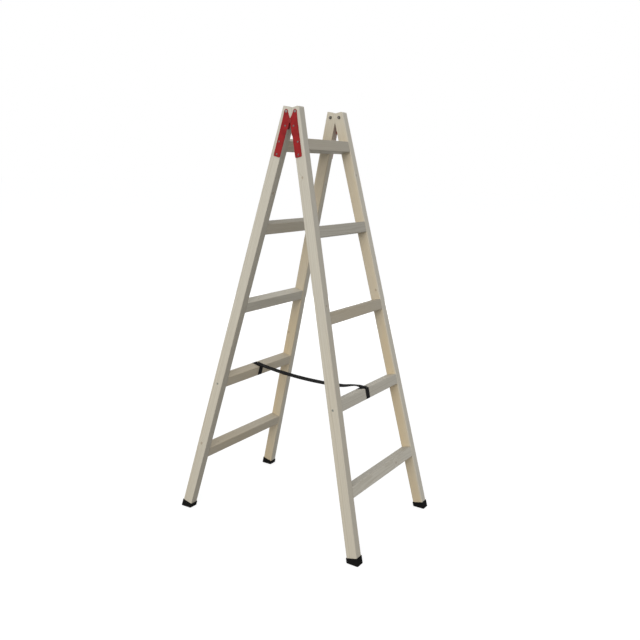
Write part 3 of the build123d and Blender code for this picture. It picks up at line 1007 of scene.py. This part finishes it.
def red_paint(name, wear):
    """Red paint over steel; wear is how far the chips reach."""
    material, tree = new_material(name)
    place = object_place(tree)
    cloud = noise(tree, place, CLOUD_SCALE, detail=4.0)
    speck = noise(tree, place, SPECK_SCALE, detail=4.0)
    peel = noise(tree, place, PEEL_SCALE, detail=1.0)
    colour = mix(tree, ramp(tree, cloud, *CLOUD_EDGE), PAINT_RED, PAINT_DARK)
    worn = math(tree, "ADD", math(tree, "MULTIPLY", edge_band(tree, CHIP_BAND), CHIP_GAIN), speck)
    chip = math(tree, "MULTIPLY", ramp(tree, worn, CHIP_FROM - wear, CHIP_FULL - wear), CHIP_TONE)
    colour = mix(tree, chip, colour, BARE_STEEL)
    rough = math(tree, "MULTIPLY_ADD", cloud, PAINT_SPREAD, PAINT_SMOOTH)
    height = math(tree, "SUBTRACT", math(tree, "MULTIPLY", peel, PEEL_HEIGHT), chip)
    finish_surface(tree, colour, rough, height, PAINT_DEPTH, Specular_IOR_Level=0.2)
    return material


plate_paint = red_paint("hinge_red", PLATE_WEAR)
rivet_paint = red_paint("rivet_red", RIVET_WEAR)
for side in SIDES:
    for end_name in ENDS:
        dress(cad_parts[f"{side}_hinge_plate_{end_name}"], plate_paint)
dress(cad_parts["hinge_rivets"], rivet_paint)
print("red paint on", len(SIDES) * len(ENDS), "plates")

# %% [markdown]
# The shoes are black moulded plastic with a fine sparked grain. Plain black would hide their form, so grime
# mixes two blacks. They stand on dusty floors, and their lowest few millimetres and their edges are scuffed
# to a dull grey. The height above the floor and the band along the edges say where, so no mask has to be
# painted for each shoe.

# %% Shoes
SHOE_BLACK = (0.0080, 0.0078, 0.0081)
SHOE_GRIME = (0.0162, 0.0158, 0.0150)
SHOE_DUST = (0.040, 0.037, 0.033)
GRIME_SCALE, SPARK_SCALE = 160.0, 2200.0
GRIME_EDGE = (0.40, 0.68)
SCUFF_TOP = 0.009
SCUFF_BAND = 0.0016
SOLE_SCUFF, EDGE_SCUFF = 0.30, 0.9
SHOE_SPREAD, SHOE_SMOOTH = 0.25, 0.45
SPARK_DEPTH = 0.00015

shoe_plastic, tree = new_material("shoe_plastic")
place = object_place(tree)
height_above = add(tree, "ShaderNodeSeparateXYZ", {0: place}).outputs[2]
low_down = math(tree, "SUBTRACT", 1.0, ramp(tree, height_above, 0.0, SCUFF_TOP))
grime = noise(tree, place, GRIME_SCALE, detail=5.0)
spark = noise(tree, place, SPARK_SCALE, detail=2.0)
edge_scuff = math(tree, "MULTIPLY", edge_band(tree, SCUFF_BAND), EDGE_SCUFF)
scuff = math(tree, "MULTIPLY_ADD", low_down, SOLE_SCUFF, edge_scuff)
scuff = math(tree, "MULTIPLY", scuff, ramp(tree, grime, *GRIME_EDGE))
colour = mix(tree, scuff, mix(tree, grime, SHOE_BLACK, SHOE_GRIME), SHOE_DUST)
rough = math(tree, "MULTIPLY_ADD", grime, SHOE_SPREAD, SHOE_SMOOTH)
finish_surface(tree, colour, rough, spark, SPARK_DEPTH, strength=0.35, Specular_IOR_Level=0.008)
for side in SIDES:
    for end_name in ENDS:
        dress(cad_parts[f"{side}_foot_{end_name}"], shoe_plastic)
print("shoes dressed", len(SIDES) * len(ENDS))

# %% [markdown]
# Bolts, washers and nuts are zinc plated: grey and softly shiny, with a mottled bloom. The hinge screws are
# zinc tinted reddish, which is a painted reflection of the red paint round them, and the long screws at the
# strap rungs are grey phosphated steel. They could be four separate trees, but only two colours and a
# roughness differ, so one function makes them all.

# %% Zinc and grey steel
BLOOM_SCALE, GRIT_SCALE = 260.0, 3000.0
BLOOM_EDGE = (0.35, 0.7)
BLOOM_SPREAD = 0.25
GRIT_DEPTH = 0.00005


def plated(name, bright, dull, smooth):
    """Mottled plated steel between two colours, no smoother than a roughness."""
    material, tree = new_material(name)
    place = object_place(tree)
    bloom = noise(tree, place, BLOOM_SCALE, detail=5.0)
    grit = noise(tree, place, GRIT_SCALE, detail=2.0)
    colour = mix(tree, ramp(tree, bloom, *BLOOM_EDGE), bright, dull)
    rough = math(tree, "MULTIPLY_ADD", bloom, BLOOM_SPREAD, smooth)
    finish_surface(tree, colour, rough, grit, GRIT_DEPTH, strength=0.3, Metallic=1.0)
    return material


zinc = plated("zinc_plate", bright=(0.275, 0.235, 0.225), dull=(0.17, 0.145, 0.14), smooth=0.45)
# The hinge screws' zinc is tinted red: a painted reflection of the red plates round them.
screw_zinc_red_reflection = plated("screw_zinc_red_reflection", bright=(0.27, 0.195, 0.19), dull=(0.165, 0.115, 0.11), smooth=0.45)
dull_zinc = plated("dull_zinc", bright=(0.20, 0.20, 0.17), dull=(0.11, 0.11, 0.09), smooth=0.5)
grey_steel = plated("grey_phosphate", bright=(0.36, 0.365, 0.32), dull=(0.21, 0.215, 0.185), smooth=0.45)
for side in SIDES:
    dress(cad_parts[f"{side}_hinge_bolts"], zinc)
    dress(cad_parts[f"{side}_hinge_washers"], dull_zinc)
print("bolts and washers dressed", len(SIDES))

# %% [markdown]
# Screws and nuts are small, but their heads catch light, so the plain solids are replaced by modelled ones.
# Their places could be typed in again, but then they would not follow the solids. So a place is read from
# the solid itself: its points are grouped, and the group's middle and its furthest point along the screw's
# direction say where the head sits.

# %% Places of the fasteners
END_DEPTH = 0.0004
SOLID_GAP = 0.008


def points_of(node):
    """Points of a node's mesh."""
    return [vertex.co.copy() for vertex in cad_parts[node].data.vertices]


def solids_along_height(points):
    """Split points into groups wherever no point lies within a gap in height."""
    groups = []
    for point in sorted(points, key=lambda p: p.z):
        if not groups or point.z - groups[-1][-1].z > SOLID_GAP:
            groups.append([])
        groups[-1].append(point)
    return groups


def fastener_places(node, direction_of):
    """(outermost point on the axis, direction) of each solid of a node."""
    places = []
    for sign in ENDS.values():
        direction = direction_of(sign)
        for group in solids_along_height([p for p in points_of(node) if p.x * sign > 0]):
            furthest = max(p.dot(direction) for p in group)
            rim = [p for p in group if furthest - p.dot(direction) < END_DEPTH]
            centre = Vector([(min(p[i] for p in rim) + max(p[i] for p in rim)) / 2 for i in range(3)])
            places.append((centre + direction * (furthest - centre.dot(direction)), direction))
    return places


for side in SIDES:
    print(side, "hinge screws", len(fastener_places(f"{side}_hinge_screws", lambda s: stile_face(side, s))))

# %% [markdown]
# Each fastener is modelled once, standing on the origin along Z, where up and down are plain heights. The
# driver's recess in a screw is two crossed blades taken out of its head. An inset pressed down would give a
# round hole, while a Boolean cuts the cross through a domed head as easily as through a flat one.

# %% Helpers for turned pieces
PAN_RADIUS = 0.0032
SLOT_LENGTH = PAN_RADIUS * 1.15
SLOT_WIDTH = 0.0009
SLOT_DEPTH = 0.0012


def cylinder(name, radius, low, high, sides=40, top_radius=None):
    """Cylinder or cone on the Z axis between two heights, made by an operator."""
    deselect()
    top_radius = radius if top_radius is None else top_radius
    bpy.ops.mesh.primitive_cone_add(vertices=sides, radius1=radius, radius2=top_radius,
                                    depth=high - low, location=(0, 0, (low + high) / 2))
    bpy.ops.object.transform_apply(location=True, rotation=True, scale=True)
    piece = bpy.context.object
    piece.name = name
    return piece


def select_edges(piece, wanted):
    """In edit mode, select the edges whose two ends satisfy wanted."""
    bpy.ops.object.mode_set(mode="EDIT")
    bpy.ops.mesh.select_mode(type="EDGE")
    bpy.ops.mesh.select_all(action="DESELECT")
    bpy.ops.object.mode_set(mode="OBJECT")
    points = piece.data.vertices
    for edge in piece.data.edges:
        edge.select = all(wanted(points[i].co) for i in edge.vertices)
    bpy.ops.object.mode_set(mode="EDIT")


def cut(piece, tool, operation="DIFFERENCE"):
    """Boolean with a tool, which is used up."""
    apply_modifier(piece, "BOOLEAN", object=tool, operation=operation, solver="EXACT")
    bpy.data.objects.remove(tool)


def cross_recess(piece, top):
    """Cut a cross-shaped driver recess into a head whose top is at that height."""
    for quarter in range(2):
        deselect()
        bpy.ops.mesh.primitive_cube_add(size=1, location=(0, 0, top - SLOT_DEPTH / 2 + SLOT_DEPTH))
        blade = bpy.context.object
        blade.scale = (SLOT_LENGTH, SLOT_WIDTH, 3 * SLOT_DEPTH)
        blade.rotation_euler = (0, 0, quarter * pi / 2)
        bpy.ops.object.transform_apply(location=True, rotation=True, scale=True)
        cut(piece, blade)


print("recess", SLOT_WIDTH, "wide", SLOT_DEPTH, "deep")

# %% [markdown]
# The hinge screws have a domed pan head: a short cylinder whose top edge is bevelled far in. The long ones
# have a flat countersunk head, which is a cone. A real nut is cut from six-sided bar, turned so that its
# corners are rounded off at one end, and bored. It could be bevelled edge by edge, but only the corners
# should go, so a prism is cut down to a turned blank, as on the lathe.

# %% Model one of each fastener
PAN_HEIGHT = 0.0018
PAN_ROUND = PAN_HEIGHT * 0.75
FLAT_RADIUS = 0.0042
FLAT_DEPTH = 0.0026
SHANK_RADIUS = 0.0022
NUT_ACROSS = 0.008
NUT_CORNER = NUT_ACROSS / 2 / cos(pi / 6)
NUT_HEIGHT = 0.004
NUT_CHAMFER = NUT_HEIGHT * 0.13
NUT_BORE = 0.0026
HEAD_SMOOTH = radians(35)

pan_screw = cylinder("pan_screw", PAN_RADIUS, 0, PAN_HEIGHT)
select_edges(pan_screw, lambda co: co.z > PAN_HEIGHT / 2)
bpy.ops.mesh.bevel(offset=PAN_ROUND, segments=5, profile=0.6)
bpy.ops.object.mode_set(mode="OBJECT")
cross_recess(pan_screw, PAN_HEIGHT)

flat_screw = cylinder("flat_screw", SHANK_RADIUS, -FLAT_DEPTH, 0, top_radius=FLAT_RADIUS)
cross_recess(flat_screw, 0)

nut = cylinder("nut", NUT_CORNER, 0, NUT_HEIGHT, sides=6)
turning = cylinder("turning", NUT_CORNER, 0, NUT_HEIGHT, sides=48)
select_edges(turning, lambda co: co.z > NUT_HEIGHT / 2)
bpy.ops.mesh.bevel(offset=NUT_CHAMFER, segments=2)
bpy.ops.object.mode_set(mode="OBJECT")
cut(nut, turning, "INTERSECT")
cut(nut, cylinder("bore", NUT_BORE, -NUT_HEIGHT, 2 * NUT_HEIGHT))

for piece in (pan_screw, flat_screw, nut):
    deselect()
    piece.select_set(True)
    bpy.context.view_layer.objects.active = piece
    bpy.ops.object.shade_smooth_by_angle(angle=HEAD_SMOOTH)
    print(piece.name, "polygons", len(piece.data.polygons))

# %% [markdown]
# Screws that are driven by hand end up turned every way, so each copy is aimed along its screw's direction
# and turned round it by chance. Linked copies would share one mesh, but a piece has to carry its place in
# its own mesh, so each copy has its own. The copies of one node are joined, and the new piece replaces
# exactly that node.

# %% Place the fasteners


def place_copies(name, model, places, sink, node, body, material):
    """Copies of a model at the places, its top sunk below the outermost point, as one piece."""
    copies = []
    for point, direction in places:
        spin = Matrix.Rotation(draw.uniform(0, pi), 4, "Z")
        aim = direction.to_track_quat("Z", "Y").to_matrix().to_4x4()
        copies.append(copy_of(model, Matrix.Translation(point - direction * sink) @ aim @ spin))
    piece = join(copies, name, material)
    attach(piece, body)
    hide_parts(node)
    print(name, len(places))


for side in SIDES:
    body = f"{side}_frame"
    out_of_face = {sign: stile_face(side, sign) for sign in ENDS.values()}
    node = f"{side}_hinge_screws"
    spots = fastener_places(node, out_of_face.get)
    place_copies(f"{side}_pan_screws", pan_screw, spots, PAN_HEIGHT, node, body, screw_zinc_red_reflection)
    node = f"{side}_rung_screws"
    spots = fastener_places(node, lambda sign: Vector((sign, 0, 0)))
    place_copies(f"{side}_flat_screws", flat_screw, spots, 0.0, node, body, grey_steel)
    node = f"{side}_hinge_nuts"
    spots = fastener_places(node, lambda sign: -out_of_face[sign])
    place_copies(f"{side}_chamfered_nuts", nut, spots, NUT_HEIGHT, node, body, dull_zinc)
for model in (pan_screw, flat_screw, nut):
    bpy.data.objects.remove(model)
